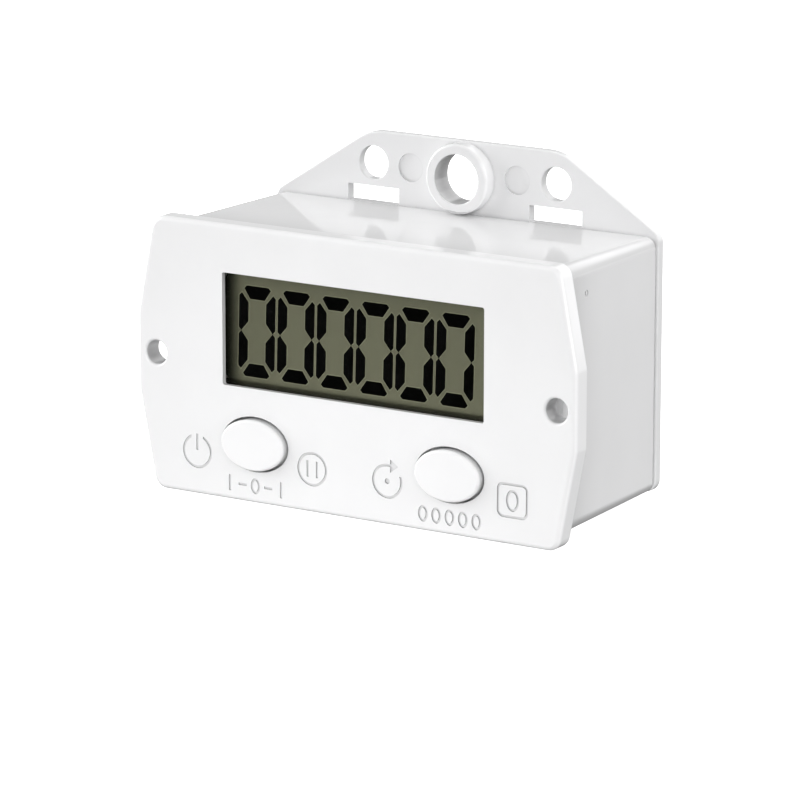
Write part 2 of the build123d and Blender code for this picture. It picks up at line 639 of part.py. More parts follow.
with BuildPart() as lcd_frame:
    with BuildSketch(facing(BOARD_FRONT)):
        with Locations((0, WINDOW_CENTRE)):
            Rectangle(GLASS_WIDTH + 2 * FRAME_MARGIN[0], GLASS_HEIGHT + 2 * FRAME_MARGIN[1])
    extrude(amount=BOARD_FRONT - WALL_BACK)
    # seat of the glass
    with BuildSketch(facing(WALL_BACK)):
        with Locations((0, WINDOW_CENTRE)):
            Rectangle(GLASS_WIDTH + 2 * POCKET_CLEARANCE, GLASS_HEIGHT + 2 * POCKET_CLEARANCE)
    extrude(amount=WALL_BACK - REFLECTOR_BACK, mode=Mode.SUBTRACT)
    # slots that guide the strips
    with BuildSketch(facing(BOARD_FRONT)):
        with Locations((0, WINDOW_CENTRE)):
            with GridLocations(0, ZEBRA_SPACING, 1, 2):
                Rectangle(ZEBRA_LENGTH + 2 * POCKET_CLEARANCE, ZEBRA_HEIGHT + POCKET_CLEARANCE)
    extrude(amount=BOARD_FRONT - REFLECTOR_BACK, mode=Mode.SUBTRACT)
    # hollow back
    with BuildSketch(facing(BOARD_FRONT)):
        with Locations((0, WINDOW_CENTRE)):
            with GridLocations(ZEBRA_LENGTH / 2, 0, 2, 1):
                Rectangle(ZEBRA_LENGTH / 2 - FRAME_WEB, REAR_GLASS_HEIGHT - 2 * FRAME_WEB)
    extrude(amount=BOARD_FRONT - REFLECTOR_BACK - FRAME_WEB, mode=Mode.SUBTRACT)

lcd_frame.part.label = "lcd_frame"
export_step(lcd_frame.part, "parts/lcd_frame.step")

# ---------------------------------------------------------------- buttons and their contacts

for side, x in (("power", -BUTTON_SPACING / 2), ("reset", BUTTON_SPACING / 2)):
    key = Pos(x, 0, BUTTON_HEIGHT)

    with BuildPart() as cap:
        add(ellipse_prism(CAP_FRONT, CAP_FLANGE_BACK, CAP_HALF_WIDTH, CAP_HALF_HEIGHT).moved(key))
        fillet(cap.faces().sort_by(Axis.Y)[0].edges(), CAP_EDGE_RADIUS)
        flange_width, flange_height = CAP_HALF_WIDTH + CAP_FLANGE_LIP, CAP_HALF_HEIGHT + CAP_FLANGE_LIP
        add(ellipse_prism(CAP_FLANGE_FRONT, CAP_FLANGE_BACK, flange_width, flange_height).moved(key))
        hollow_width, hollow_height = CAP_HALF_WIDTH - CAP_SKIN, CAP_HALF_HEIGHT - CAP_SKIN
        hollow = ellipse_prism(CAP_FRONT + CAP_SKIN, CAP_FLANGE_BACK, hollow_width, hollow_height)
        add(hollow.moved(key), mode=Mode.SUBTRACT)
        with BuildSketch(facing(STEM_BACK)):
            with Locations((x, BUTTON_HEIGHT)):
                Circle(CAP_STEM_RADIUS)
        extrude(amount=STEM_BACK - CAP_FRONT - CAP_SKIN / 2)

    cap.part.label = f"{side}_button"
    export_step(cap.part, f"parts/{side}_button.step")

    # rubber dome: a base ring on the board, a conical skirt and a solid crown under the stem
    crown, crown_back = BOOT_CROWN_RADIUS, PILL_FRONT
    base_front, base_inner = BOARD_FRONT - BOOT_BASE_HEIGHT, BOOT_BASE_RADIUS - BOOT_BASE_WIDTH
    with BuildPart() as boot:
        with BuildSketch(Plane.XY):
            with BuildLine():
                Polyline(
                    (0, STEM_BACK), (crown, STEM_BACK), (crown, crown_back - BOOT_SKIRT),
                    (BOOT_BASE_RADIUS - BOOT_BASE_HEIGHT, base_front), (BOOT_BASE_RADIUS, base_front),
                    (BOOT_BASE_RADIUS, BOARD_FRONT), (base_inner, BOARD_FRONT),
                    (base_inner, base_front + BOOT_SKIRT / 2), (crown - BOOT_SKIRT, crown_back),
                    (0, crown_back),
                    close=True,
                )
            make_face()
        revolve(axis=Axis.Y)

    boot.part.position = (x, 0, BUTTON_HEIGHT)
    boot.part.label = f"{side}_key_boot"
    export_step(boot.part, f"parts/{side}_key_boot.step")

    with BuildPart() as pill:
        with BuildSketch(facing(PILL_BACK)):
            with Locations((x, BUTTON_HEIGHT)):
                Circle(PILL_RADIUS)
        extrude(amount=PILL_THICKNESS)

    pill.part.label = f"{side}_contact_pill"
    export_step(pill.part, f"parts/{side}_contact_pill.step")

with BuildPart() as key_pads:
    with BuildSketch(facing(BOARD_FRONT)):
        with Locations((-BUTTON_SPACING / 2, BUTTON_HEIGHT), (BUTTON_SPACING / 2, BUTTON_HEIGHT)):
            Circle(KEY_PAD_RADIUS)
            Rectangle(KEY_PAD_SPLIT, 3 * KEY_PAD_RADIUS, mode=Mode.SUBTRACT)
    extrude(amount=KEY_PAD_THICKNESS)

key_pads.part.label = "key_pads"
export_step(key_pads.part, "parts/key_pads.step")

# ---------------------------------------------------------------- circuit board and components

with BuildPart() as circuit_board:
    with BuildSketch(facing(BOARD_BACK)):
        Rectangle(BOARD_WIDTH, BOARD_HEIGHT)
        with GridLocations(BOARD_WIDTH - BOARD_NOTCH, BOARD_HEIGHT - BOARD_NOTCH, 2, 2):
            Rectangle(BOARD_NOTCH, BOARD_NOTCH, mode=Mode.SUBTRACT)
        with GridLocations(BOARD_WIDTH, 0, 2, 1):
            Rectangle(*BOARD_SLOT, mode=Mode.SUBTRACT)
        with GridLocations(*BOARD_SCREW_SPACING, 2, 2):
            Circle(BOARD_SCREW_HOLE_RADIUS, mode=Mode.SUBTRACT)
    extrude(amount=BOARD_THICKNESS)

circuit_board.part.label = "circuit_board"
export_step(circuit_board.part, "parts/circuit_board.step")

with BuildPart() as counter_chip:
    with BuildSketch(facing(BOARD_BACK)):
        with Locations(CHIP_PLACE):
            Circle(CHIP_RADIUS)
    extrude(amount=-CHIP_HEIGHT, taper=35)
    fillet(counter_chip.faces().sort_by(Axis.Y)[-1].edges(), CHIP_HEIGHT / 2)

counter_chip.part.label = "counter_chip"
export_step(counter_chip.part, "parts/counter_chip.step")

with BuildPart() as crystal:
    with BuildSketch(side_on(CRYSTAL_START[0])):
        with Locations((BOARD_BACK + CRYSTAL_RADIUS, CRYSTAL_START[1])):
            Circle(CRYSTAL_RADIUS)
    extrude(amount=CRYSTAL_LENGTH)
    fillet(crystal.edges().filter_by(GeomType.CIRCLE), 0.3)

crystal.part.label = "crystal"
export_step(crystal.part, "parts/crystal.step")

with BuildPart() as storage_capacitor:
    with BuildSketch(side_on(CAPACITOR_START[0])):
        with Locations((BOARD_BACK + CAPACITOR_RADIUS, CAPACITOR_START[1])):
            Circle(CAPACITOR_RADIUS)
    extrude(amount=CAPACITOR_LENGTH)
    fillet(storage_capacitor.edges().filter_by(GeomType.CIRCLE), 0.35)

storage_capacitor.part.label = "storage_capacitor"
export_step(storage_capacitor.part, "parts/storage_capacitor.step")


def chips(places, height):
    """Surface-mounted blocks of one height on the back of the board."""
    with BuildPart() as group:
        with BuildSketch(facing(BOARD_BACK)):
            with Locations(*places):
                Rectangle(*CHIP_SIZE)
        extrude(amount=-height)
    return group


chip_capacitors = chips(CHIP_CAPACITOR_PLACES, CHIP_CAPACITOR_HEIGHT)
chip_capacitors.part.label = "chip_capacitors"
export_step(chip_capacitors.part, "parts/chip_capacitors.step")

chip_resistors = chips(CHIP_RESISTOR_PLACES, CHIP_RESISTOR_HEIGHT)
chip_resistors.part.label = "chip_resistors"
export_step(chip_resistors.part, "parts/chip_resistors.step")

# magnetic pick-up: a glass tube along the lower edge of the board, held by its two leads
with BuildPart() as reed_tube:
    with BuildSketch(side_on(-REED_HALF_LENGTH)):
        with Locations((REED_DEPTH, REED_LEVEL)):
            Circle(REED_RADIUS)
            Circle(REED_RADIUS - REED_WALL, mode=Mode.SUBTRACT)
    extrude(amount=2 * REED_HALF_LENGTH)
    for end in (-1, 1):
        with BuildSketch(side_on(end * REED_HALF_LENGTH)):
            with Locations((REED_DEPTH, REED_LEVEL)):
                Circle(REED_RADIUS - REED_WALL)
                Circle(LEAD_RADIUS, mode=Mode.SUBTRACT)
        extrude(amount=-end * REED_PLUG)

reed_tube.part.label = "reed_tube"
export_step(reed_tube.part, "parts/reed_tube.step")

with BuildPart() as reed_blades:
    for end in (-1, 1):
        # the two blades overlap inside the tube with a small gap between them
        with BuildLine() as lead_path:
            FilletPolyline(
                (end * -0.8, REED_DEPTH + end * BLADE_OFFSET, REED_LEVEL),
                (end * 3.0, REED_DEPTH + end * BLADE_OFFSET, REED_LEVEL),
                (end * 4.5, REED_DEPTH, REED_LEVEL),
                (end * LEAD_REACH, REED_DEPTH, REED_LEVEL),
                (end * LEAD_REACH, BOARD_BACK, REED_LEVEL),
                radius=0.4,
            )
        with BuildSketch(Plane(origin=lead_path.line @ 0, z_dir=lead_path.line % 0)):
            Circle(LEAD_RADIUS)
        sweep(path=lead_path.line)

reed_blades.part.label = "reed_blades"
export_step(reed_blades.part, "parts/reed_blades.step")

# ---------------------------------------------------------------- battery and its contacts

with BuildPart() as battery_cell:
    with BuildSketch(side_on(CELL_TAIL)):
        with Locations((CELL_DEPTH, 0)):
            Circle(CELL_RADIUS - SLEEVE_THICKNESS)
    extrude(amount=CELL_SHOULDER - CAP_DISC_THICKNESS - CELL_TAIL)
    fillet(battery_cell.edges().filter_by(GeomType.CIRCLE), 0.5)

battery_cell.part.label = "battery_cell"
export_step(battery_cell.part, "parts/battery_cell.step")

with BuildPart() as battery_sleeve:
    with BuildSketch(side_on(CELL_TAIL + SLEEVE_MARGIN)):
        with Locations((CELL_DEPTH, 0)):
            Circle(CELL_RADIUS)
            Circle(CELL_RADIUS - SLEEVE_THICKNESS, mode=Mode.SUBTRACT)
    extrude(amount=CELL_SHOULDER - CAP_DISC_THICKNESS - CELL_TAIL - 2 * SLEEVE_MARGIN)

battery_sleeve.part.label = "battery_sleeve"
export_step(battery_sleeve.part, "parts/battery_sleeve.step")

with BuildPart() as battery_cap:
    with BuildSketch(side_on(CELL_SHOULDER - CAP_DISC_THICKNESS)):
        with Locations((CELL_DEPTH, 0)):
            Circle(CAP_DISC_RADIUS)
    extrude(amount=CAP_DISC_THICKNESS)
    with BuildSketch(side_on(CELL_SHOULDER)):
        with Locations((CELL_DEPTH, 0)):
            Circle(CELL_NUB_RADIUS)
    extrude(amount=CELL_NUB)
    fillet(battery_cap.faces().sort_by(Axis.X)[-1].edges(), 0.3)

battery_cap.part.label = "battery_cap"
export_step(battery_cap.part, "parts/battery_cap.step")


def contact_plate(side):
    """Spring-steel plate on a side wall, with a tail that reaches the board."""
    with BuildPart() as plate:
        with BuildSketch(side_on(side * CONTACT_INNER)):
            with Locations((CELL_DEPTH, 0)):
                Rectangle(CONTACT_LENGTH, 2 * CONTACT_HALF_WIDTH)
            tail_length = CELL_DEPTH - CONTACT_TAIL_FRONT
            with Locations((CONTACT_TAIL_FRONT + tail_length / 2, 0)):
                Rectangle(tail_length, CONTACT_TAIL_WIDTH)
        extrude(amount=side * CONTACT_THICKNESS)
        # rounded dimple towards the cell on the positive side
        if side > 0:
            with BuildSketch(side_on(CONTACT_INNER)):
                with Locations((CELL_DEPTH, 0)):
                    Circle(DIMPLE_RADIUS)
            extrude(amount=-DIMPLE_HEIGHT, taper=20)
    return plate


positive_contact = contact_plate(1)
positive_contact.part.label = "positive_contact"
export_step(positive_contact.part, "parts/positive_contact.step")

negative_contact = contact_plate(-1)
negative_contact.part.label = "negative_contact"
export_step(negative_contact.part, "parts/negative_contact.step")

# conical spring between the negative plate and the flat end of the cell
spring_length = CONTACT_INNER + CELL_TAIL - 2 * SPRING_WIRE_RADIUS
with BuildPart() as battery_spring:
    with BuildLine() as spring_path:
        Helix(
            pitch=spring_length / SPRING_TURNS,
            height=spring_length,
            radius=SPRING_RADIUS,
            center=(-CONTACT_INNER + SPRING_WIRE_RADIUS, CELL_DEPTH, 0),
            direction=(1, 0, 0),
            cone_angle=SPRING_CONE,
        )
    with BuildSketch(Plane(origin=spring_path.line @ 0, z_dir=spring_path.line % 0)):
        Circle(SPRING_WIRE_RADIUS)
    sweep(path=spring_path.line, is_frenet=True)

battery_spring.part.label = "battery_spring"
export_step(battery_spring.part, "parts/battery_spring.step")

# wedge of solder between each contact tail and the board
with BuildPart() as contact_solder:
    for side in (-1, 1):
        with BuildSketch(Plane.XY.offset(-SOLDER_WIDTH / 2)):
            with BuildLine():
                Polyline(
                    (side * CONTACT_INNER, BOARD_BACK),
                    (side * CONTACT_INNER, BOARD_BACK + SOLDER_SIZE[1]),
                    (side * (CONTACT_INNER - SOLDER_SIZE[0]), BOARD_BACK),
                    close=True,
                )
            make_face()
        extrude(amount=SOLDER_WIDTH)

contact_solder.part.label = "contact_solder"
export_step(contact_solder.part, "parts/contact_solder.step")

# ---------------------------------------------------------------- fasteners

with BuildPart() as board_screws:
    with BuildSketch(facing(BOARD_BACK)):
        with GridLocations(*BOARD_SCREW_SPACING, 2, 2):
            Circle(BOARD_SCREW_HEAD_RADIUS)
    extrude(amount=-BOARD_SCREW_HEAD_HEIGHT)
    fillet(board_screws.faces().filter_by(Axis.Y).group_by(Axis.Y)[-1].edges(), BOARD_SCREW_HEAD_EDGE)
    with BuildSketch(facing(BOARD_BACK)):
        with GridLocations(*BOARD_SCREW_SPACING, 2, 2):
            Circle(BOARD_SCREW_RADIUS)
    extrude(amount=BOARD_THICKNESS + BOARD_SCREW_REACH)
    cross_length, cross_width, cross_depth = BOARD_SCREW_CROSS
    with BuildSketch(facing(BOARD_BACK + BOARD_SCREW_HEAD_HEIGHT)):
        with GridLocations(*BOARD_SCREW_SPACING, 2, 2):
            Rectangle(cross_length, cross_width)
            Rectangle(cross_width, cross_length)
    extrude(amount=cross_depth, mode=Mode.SUBTRACT)

board_screws.part.label = "board_screws"
export_step(board_screws.part, "parts/board_screws.step")

with BuildPart() as cover_screws:
    with BuildSketch(facing(COVER_BACK)):
        with GridLocations(*POST_SPACING, 2, 2):
            Circle(COVER_SCREW_HEAD_RADIUS)
    extrude(amount=COVER_SCREW_HEAD_HEIGHT, taper=45)
    with BuildSketch(facing(COVER_BACK)):
        with GridLocations(*POST_SPACING, 2, 2):
            Circle(COVER_SCREW_RADIUS)
    extrude(amount=COVER_SCREW_LENGTH)
    cross_length, cross_width, cross_depth = COVER_SCREW_CROSS
    with BuildSketch(facing(COVER_BACK)):
        with GridLocations(*POST_SPACING, 2, 2):
            Rectangle(cross_length, cross_width)
            Rectangle(cross_width, cross_length)
    extrude(amount=cross_depth, mode=Mode.SUBTRACT)

cover_screws.part.label = "cover_screws"
export_step(cover_screws.part, "parts/cover_screws.step")
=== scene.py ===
import json
import math
import bmesh
import bpy
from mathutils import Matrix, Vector


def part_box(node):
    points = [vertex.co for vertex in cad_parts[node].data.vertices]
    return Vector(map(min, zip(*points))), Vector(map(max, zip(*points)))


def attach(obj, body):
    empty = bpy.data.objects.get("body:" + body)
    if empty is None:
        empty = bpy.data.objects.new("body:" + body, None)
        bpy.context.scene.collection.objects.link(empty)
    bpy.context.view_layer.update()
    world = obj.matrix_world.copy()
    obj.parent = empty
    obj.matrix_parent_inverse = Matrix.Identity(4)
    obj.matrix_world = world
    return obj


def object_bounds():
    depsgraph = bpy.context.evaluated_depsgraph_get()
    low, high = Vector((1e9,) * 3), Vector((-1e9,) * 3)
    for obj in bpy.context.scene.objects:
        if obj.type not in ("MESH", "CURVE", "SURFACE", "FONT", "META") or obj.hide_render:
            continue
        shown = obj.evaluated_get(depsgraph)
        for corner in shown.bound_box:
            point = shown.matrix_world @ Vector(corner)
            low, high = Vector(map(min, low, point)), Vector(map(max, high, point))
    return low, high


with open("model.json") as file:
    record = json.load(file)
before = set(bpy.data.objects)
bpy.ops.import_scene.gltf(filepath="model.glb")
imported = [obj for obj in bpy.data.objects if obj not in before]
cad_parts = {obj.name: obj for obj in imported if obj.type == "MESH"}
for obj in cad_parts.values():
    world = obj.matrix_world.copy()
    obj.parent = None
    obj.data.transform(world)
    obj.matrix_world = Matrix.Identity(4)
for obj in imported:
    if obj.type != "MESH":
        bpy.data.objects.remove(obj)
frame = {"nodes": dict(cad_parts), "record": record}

# Looks of the panel-mounted electronic row counter: glossy white housing and cover, a reflective
# liquid-crystal display behind its window, and the parts inside. Metres, in the frame of the CAD.

cad_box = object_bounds()
MM = 0.001

# ---------------------------------------------------------------- driving values

# camera: where it stands around the point it looks at, and its lens
CAMERA_AZIMUTH = math.radians(31.77)
CAMERA_ELEVATION = math.radians(13.82)
CAMERA_DISTANCE = 624.5 * MM
CAMERA_AIM = Vector((5.52, -0.15, -2.31)) * MM
CAMERA_ROLL = math.radians(0.05)
CAMERA_LENS = 223.8
CAMERA_SENSOR = 36.0
CAMERA_CLIP = (0.05, 50.0)

# stage
FLOOR_SIZE = 8.0
FLOOR_TONE = 0.90
FLOOR_GLOW = 1.0
SKY_STRENGTH = 0.15
CLEAR_BOUNCES = 32

# soft lights, which all face the object: name, place, width and height in metres, and power in watts;
# the powers started from a fit of the render's tones to the photo's, and were then rounded and adjusted
SOFTBOXES = [
    ("left_softbox", (-1.207, 0.00, 0.324), (0.70, 0.70), 10.5),
    ("front_left_softbox", (-1.017, -0.587, 0.428), (0.70, 0.70), 5.5),
    ("front_right_softbox", (0.413, -1.135, 0.324), (0.70, 0.70), 4.9),
    ("right_softbox", (1.207, 0.00, 0.324), (0.70, 0.70), 9.5),
    ("top_softbox", (0.00, 0.00, 1.20), (0.90, 0.90), 3.9),
    ("top_back_softbox", (0.00, 0.884, 0.884), (1.00, 0.70), 4.0),
    ("back_softbox", (0.428, 1.170, 0.300), (0.70, 0.70), 2.0),
    ("back_left_softbox", (-0.640, 1.030, 0.300), (0.70, 0.70), 0.35),
]

# light that comes back up from the table, in the same form; the gloss doesn't mirror it
BOUNCES = [
    ("table_bounce", (0.00, -0.60, -0.20), (0.30, 0.30), 0.54),
    ("near_bounce", (0.000, -0.100, -0.040), (0.05, 0.03), 0.040),
]

# display: the width of its seal, how far the film of liquid crystal keeps from its neighbours, the
# film's corner radius and facets, and the width of the pale line around each segment
SEAL_WIDTH = 0.8 * MM
FILM_GAP = 0.004 * MM
FILM_CORNER = 0.8 * MM
FILM_CORNER_STEPS = 8
SEGMENT_LINE = 0.13 * MM

# shaded borders of the display: how far inside the seal each starts and ends
LEFT_SHADE = (0.45 * MM, 2.9 * MM)
LOW_SHADE = (-1.28 * MM, 0.32 * MM)

# white plastic: how far around a spot walls shade it, in the corner behind the flange and in grooves
CORNER_REACH = 6 * MM
GROOVE_REACH = 0.5 * MM

# how far the shaded holes reach past their own radius
HOLE_MARGIN = 0.02 * MM

# distances behind the back of the flange: between the first two its corner's extra shade fades out, and
# between the second two the shade of all corners does
FLANGE_SHADE = (-2 * MM, 11 * MM)
UNSHADED_FROM = (4 * MM, 14 * MM)

# how far inside the rear and top of the housing the painted dark line along the box's edges stays
REAR_MARGIN = 0.1 * MM
TOP_MARGIN = 0.6 * MM

# tones of the white plastic, as factors on its colour: rubbed edges are lighter, the flange's rim gets
# painted light,
# and corners, the line along the box's long edges, holes and grooves get painted shade
RUBBED_TONE = 1.06
RIM_LIGHT_TONE = 1.10
CORNER_TONE = 0.76
EDGE_SHADE_TONE = 0.72
HOLE_TONE = 0.70
GROOVE_TONE = 0.80

# plain bands on the sleeves, as shares of their lengths
BATTERY_BAND = 0.28
CAPACITOR_BAND = 0.16

# colours, as linear red, green and blue
WHITE_PLASTIC = (0.875, 0.875, 0.880)
WHITE_BUTTON = (0.890, 0.890, 0.895)
REFLECTOR = (0.150, 0.152, 0.092)
CRYSTAL = (0.174, 0.177, 0.118)
CRYSTAL_SHADE = (0.014, 0.015, 0.010)
INK = (0.001, 0.001, 0.001)
BOARD_GREEN = (0.020, 0.120, 0.045)

# ---------------------------------------------------------------- places taken from the frame

housing_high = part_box("front_housing")[1]
box_rear, box_top = housing_high.y - REAR_MARGIN, housing_high.z - TOP_MARGIN
battery_low, battery_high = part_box("battery_sleeve")
capacitor_low, capacitor_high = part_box("storage_capacitor")
seal_low, seal_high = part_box("lcd_seal")
digits_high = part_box("lcd_digits")[1]
crystal_low = seal_low + Vector((SEAL_WIDTH, 0, SEAL_WIDTH))
crystal_high = seal_high - Vector((SEAL_WIDTH, 0, SEAL_WIDTH))

# holes with shaded walls: centre on the front, a radius just over the hole's own, and how far back
mounts = {mount["name"]: mount for mount in frame["record"]["mounts"]}
ear_x = mounts["panel_screws"]["dims"]["spacing_x_mm"] / 2 * MM
ear_radius = mounts["panel_screws"]["dims"]["hole_r_mm"] * MM
bore_x, _, bore_z = mounts["boss_bore"]["pos_m"]
bore_radius = mounts["boss_bore"]["dims"]["r_mm"] * MM
HOLES = [
    ((-ear_x, 0, 0), ear_radius + HOLE_MARGIN, 0.0),
    ((ear_x, 0, 0), ear_radius + HOLE_MARGIN, 0.0),
    ((bore_x, 0, bore_z), bore_radius + HOLE_MARGIN, cad_box[1].y),
]

# ---------------------------------------------------------------- material kit


class Finish:
    """A node material around one Principled shader, with short calls for its procedural parts."""

    def __init__(self, name, color, roughness, **sockets):
        self.material = bpy.data.materials.new(name)
        self.material.use_nodes = True
        self.nodes = self.material.node_tree.nodes
        self.links = self.material.node_tree.links
        self.shader = self.nodes["Principled BSDF"]
        self.place = self.nodes.new("ShaderNodeTexCoord").outputs["Object"]
        self.shader.inputs["Base Color"].default_value = (*color, 1.0)
        self.shader.inputs["Roughness"].default_value = roughness
        for socket, value in sockets.items():
            self.shader.inputs[socket.replace("_", " ")].default_value = value

    def add(self, kind, inputs=None, **settings):
        """New node with its settings, and its inputs given as values or as sockets to link."""
        node = self.nodes.new("ShaderNode" + kind)
        for name, value in settings.items():
            setattr(node, name, value)
        for name, value in (inputs or {}).items():
            if isinstance(value, bpy.types.NodeSocket):
                self.links.new(value, node.inputs[name])
            else:
                node.inputs[name].default_value = value
        return node

    def stretched(self, scale):
        """Object coordinates scaled by a different factor along each axis."""
        return self.add("Mapping", {"Vector": self.place, "Scale": scale}).outputs["Vector"]

    def noise(self, size, detail=3.0, place=None):
        """Noise from 0 to 1 whose patches are about this many metres across."""
        inputs = {"Vector": place or self.place, "Scale": 1.0 / size, "Detail": detail}
        return self.add("TexNoise", inputs).outputs["Fac"]

    def spread(self, value, low, high, start=0.3, end=0.7):
        """The value remapped so that start gives low and end gives high."""
        inputs = {"Value": value, "From Min": start, "From Max": end, "To Min": low, "To Max": high}
        return self.add("MapRange", inputs).outputs["Result"]

    def fade(self, value, start, end):
        """0 up to start, 1 from end on, and a smooth step between them."""
        inputs = {"Value": value, "From Min": start, "From Max": end}
        return self.add("MapRange", inputs, interpolation_type="SMOOTHSTEP").outputs["Result"]

    def mix(self, factor, first, second):
        """Colour between two colours, each a tuple or a socket."""
        node = self.add("Mix", {0: factor}, data_type="RGBA")
        for index, color in ((6, first), (7, second)):
            if isinstance(color, bpy.types.NodeSocket):
                self.links.new(color, node.inputs[index])
            else:
                node.inputs[index].default_value = (*color, 1.0)
        return node.outputs[2]

    def math(self, operation, first, second=0.0):
        """One arithmetic step on values or sockets."""
        return self.add("Math", {0: first, 1: second}, operation=operation).outputs[0]

    def along(self, axis):
        """The object coordinate along one axis, in metres."""
        return self.add("SeparateXYZ", {"Vector": self.place}).outputs[axis]

    def edges(self, radius):
        """1 near convex and concave edges and 0 on flat faces, within a radius in metres."""
        rounded = self.add("Bevel", {"Radius": radius}, samples=4).outputs["Normal"]
        flat = self.add("NewGeometry").outputs["Normal"]
        dot = self.add("VectorMath", {0: rounded, 1: flat}, operation="DOT_PRODUCT").outputs["Value"]
        return self.spread(dot, 1.0, 0.0, 0.80, 0.995)

    def openness(self, reach, closed, open_from):
        """0 in tight places and 1 in open ones, by the share of directions clear this many metres out."""
        clear = self.add("AmbientOcclusion", {"Distance": reach}, samples=6).outputs["AO"]
        return self.spread(clear, 0.0, 1.0, closed, open_from)

    def facing(self, axis):
        """How far the surface faces along one axis, either way, from 0 to 1."""
        normal = self.add("NewGeometry").outputs["Normal"]
        return self.math("ABSOLUTE", self.add("SeparateXYZ", {"Vector": normal}).outputs[axis])

    def between(self, value, low, high):
        """1 where the value is between two others, and 0 elsewhere."""
        return self.math("MULTIPLY", self.math("GREATER_THAN", value, low),
                         self.math("LESS_THAN", value, high))

    def inside_holes(self):
        """1 on the walls of the holes in HOLES and 0 elsewhere."""
        flat, depth = self.stretched((1, 0, 1)), self.along("Y")
        inside = 0.0
        for centre, radius, rear in HOLES:
            away = self.add("VectorMath", {0: flat, 1: centre}, operation="DISTANCE").outputs["Value"]
            ahead = self.math("LESS_THAN", depth, rear)
            near = self.math("MULTIPLY", self.math("LESS_THAN", away, radius), ahead)
            inside = self.math("MAXIMUM", inside, near)
        return inside

    def color(self, socket):
        self.links.new(socket, self.shader.inputs["Base Color"])

    def roughness(self, socket):
        self.links.new(socket, self.shader.inputs["Roughness"])

    def bump(self, height, distance):
        """Bump of this many metres from a height of 0 to 1."""
        node = self.add("Bump", {"Height": height, "Distance": distance, "Strength": 1.0})
        self.links.new(node.outputs["Normal"], self.shader.inputs["Normal"])


def scaled(color, factor):
    """The colour made lighter or darker by a factor."""
    return tuple(min(1.0, channel * factor) for channel in color)


# ---------------------------------------------------------------- materials


def glossy_white(name, color):
    """Polished injection-moulded plastic: faint flow mottle, patchy gloss, rubbed edges, painted light on
    the flange's rim, and painted shade in corners, holes, grooves and beside the box's long edges."""
    finish = Finish(name, color, 0.08, Specular_IOR_Level=0.5, IOR=1.50)
    depth, height = finish.along("Y"), finish.along("Z")
    on_flange = finish.math("LESS_THAN", depth, 0.0)

    # flow mottle, with the edges rubbed lighter
    rubbed = finish.edges(0.25 * MM)
    mottle = finish.spread(finish.noise(9 * MM, 4.0), 0.0, 1.0)
    body = finish.mix(mottle, scaled(color, 0.985), scaled(color, 1.010))
    body = finish.mix(finish.math("MULTIPLY", rubbed, 0.35), body, scaled(color, RUBBED_TONE))

    # painted light: the outer rim of the flange, where it faces sideways, is painted lighter
    rim = finish.math("MULTIPLY", finish.fade(finish.facing("X"), 0.5, 0.9), on_flange)
    body = finish.mix(rim, body, scaled(color, RIM_LIGHT_TONE))

    # corners are shaded, most of all behind the flange, but not near the cover
    past_flange = finish.math("MAXIMUM", finish.fade(depth, *FLANGE_SHADE), on_flange)
    lit = finish.math("MULTIPLY", finish.openness(CORNER_REACH, 0.50, 1.00),
                      finish.spread(past_flange, 0.3, 1.0, 0.0, 1.0))
    lit = finish.math("MAXIMUM", lit, finish.fade(depth, *UNSHADED_FROM))
    body = finish.mix(lit, scaled(color, CORNER_TONE), body)

    # painted shade: each long edge of the box has a darker line painted just beside it, where the wall
    # starts to turn
    on_box = finish.math("MULTIPLY", finish.between(depth, 0.0, box_rear),
                         finish.math("LESS_THAN", height, box_top))
    turned = finish.facing("Z")
    line = finish.math("SUBTRACT", finish.fade(turned, 0.04, 0.32), finish.fade(turned, 0.42, 0.80))
    body = finish.mix(finish.math("MULTIPLY", line, on_box), body, scaled(color, EDGE_SHADE_TONE))

    # hole walls and grooves get little light; on the box only a quarter of that shade is kept
    body = finish.mix(finish.inside_holes(), body, scaled(color, HOLE_TONE))
    clear = finish.math("MAXIMUM", finish.openness(GROOVE_REACH, 0.25, 0.90),
                        finish.math("MULTIPLY", on_box, 0.75))
    finish.color(finish.mix(clear, scaled(color, GROOVE_TONE), body))

    gloss = finish.spread(finish.noise(3 * MM, 5.0), 0.05, 0.10)
    finish.roughness(finish.math("ADD", gloss, finish.math("MULTIPLY", rubbed, 0.05)))
    ripple, grain = finish.noise(1.6 * MM, 2.0), finish.noise(0.12 * MM, 1.0)
    relief = finish.math("MULTIPLY", ripple, 0.8)
    finish.bump(finish.math("ADD", relief, finish.math("MULTIPLY", grain, 0.12)), 0.004 * MM)
    return finish.material


def rubber(name, color):
    """Moulded rubber: matte, with a fine dusty grain."""
    finish = Finish(name, color, 0.6, Sheen_Weight=0.2, Sheen_Roughness=0.5)
    dust = finish.noise(0.8 * MM, 5.0)
    finish.color(finish.mix(finish.spread(dust, 0.0, 1.0), scaled(color, 0.85), scaled(color, 1.15)))
    finish.roughness(finish.spread(finish.noise(0.4 * MM), 0.52, 0.72))
    finish.bump(finish.noise(0.1 * MM, 4.0), 0.01 * MM)
    return finish.material


def clear_layer(name, color, alpha, roughness, shine=0.5):
    """Thin clear sheet: mostly see-through, with faint specks and uneven gloss."""
    finish = Finish(name, color, roughness, IOR=1.5, Alpha=alpha, Specular_IOR_Level=shine)
    specks = finish.spread(finish.noise(0.5 * MM, 6.0), 0.0, 1.0, 0.55, 0.75)
    finish.color(finish.mix(specks, color, scaled(color, 1.1)))
    finish.roughness(finish.spread(finish.noise(2 * MM), roughness * 0.8, roughness * 1.25))
    finish.bump(finish.noise(0.3 * MM, 2.0), 0.002 * MM)
    return finish.material


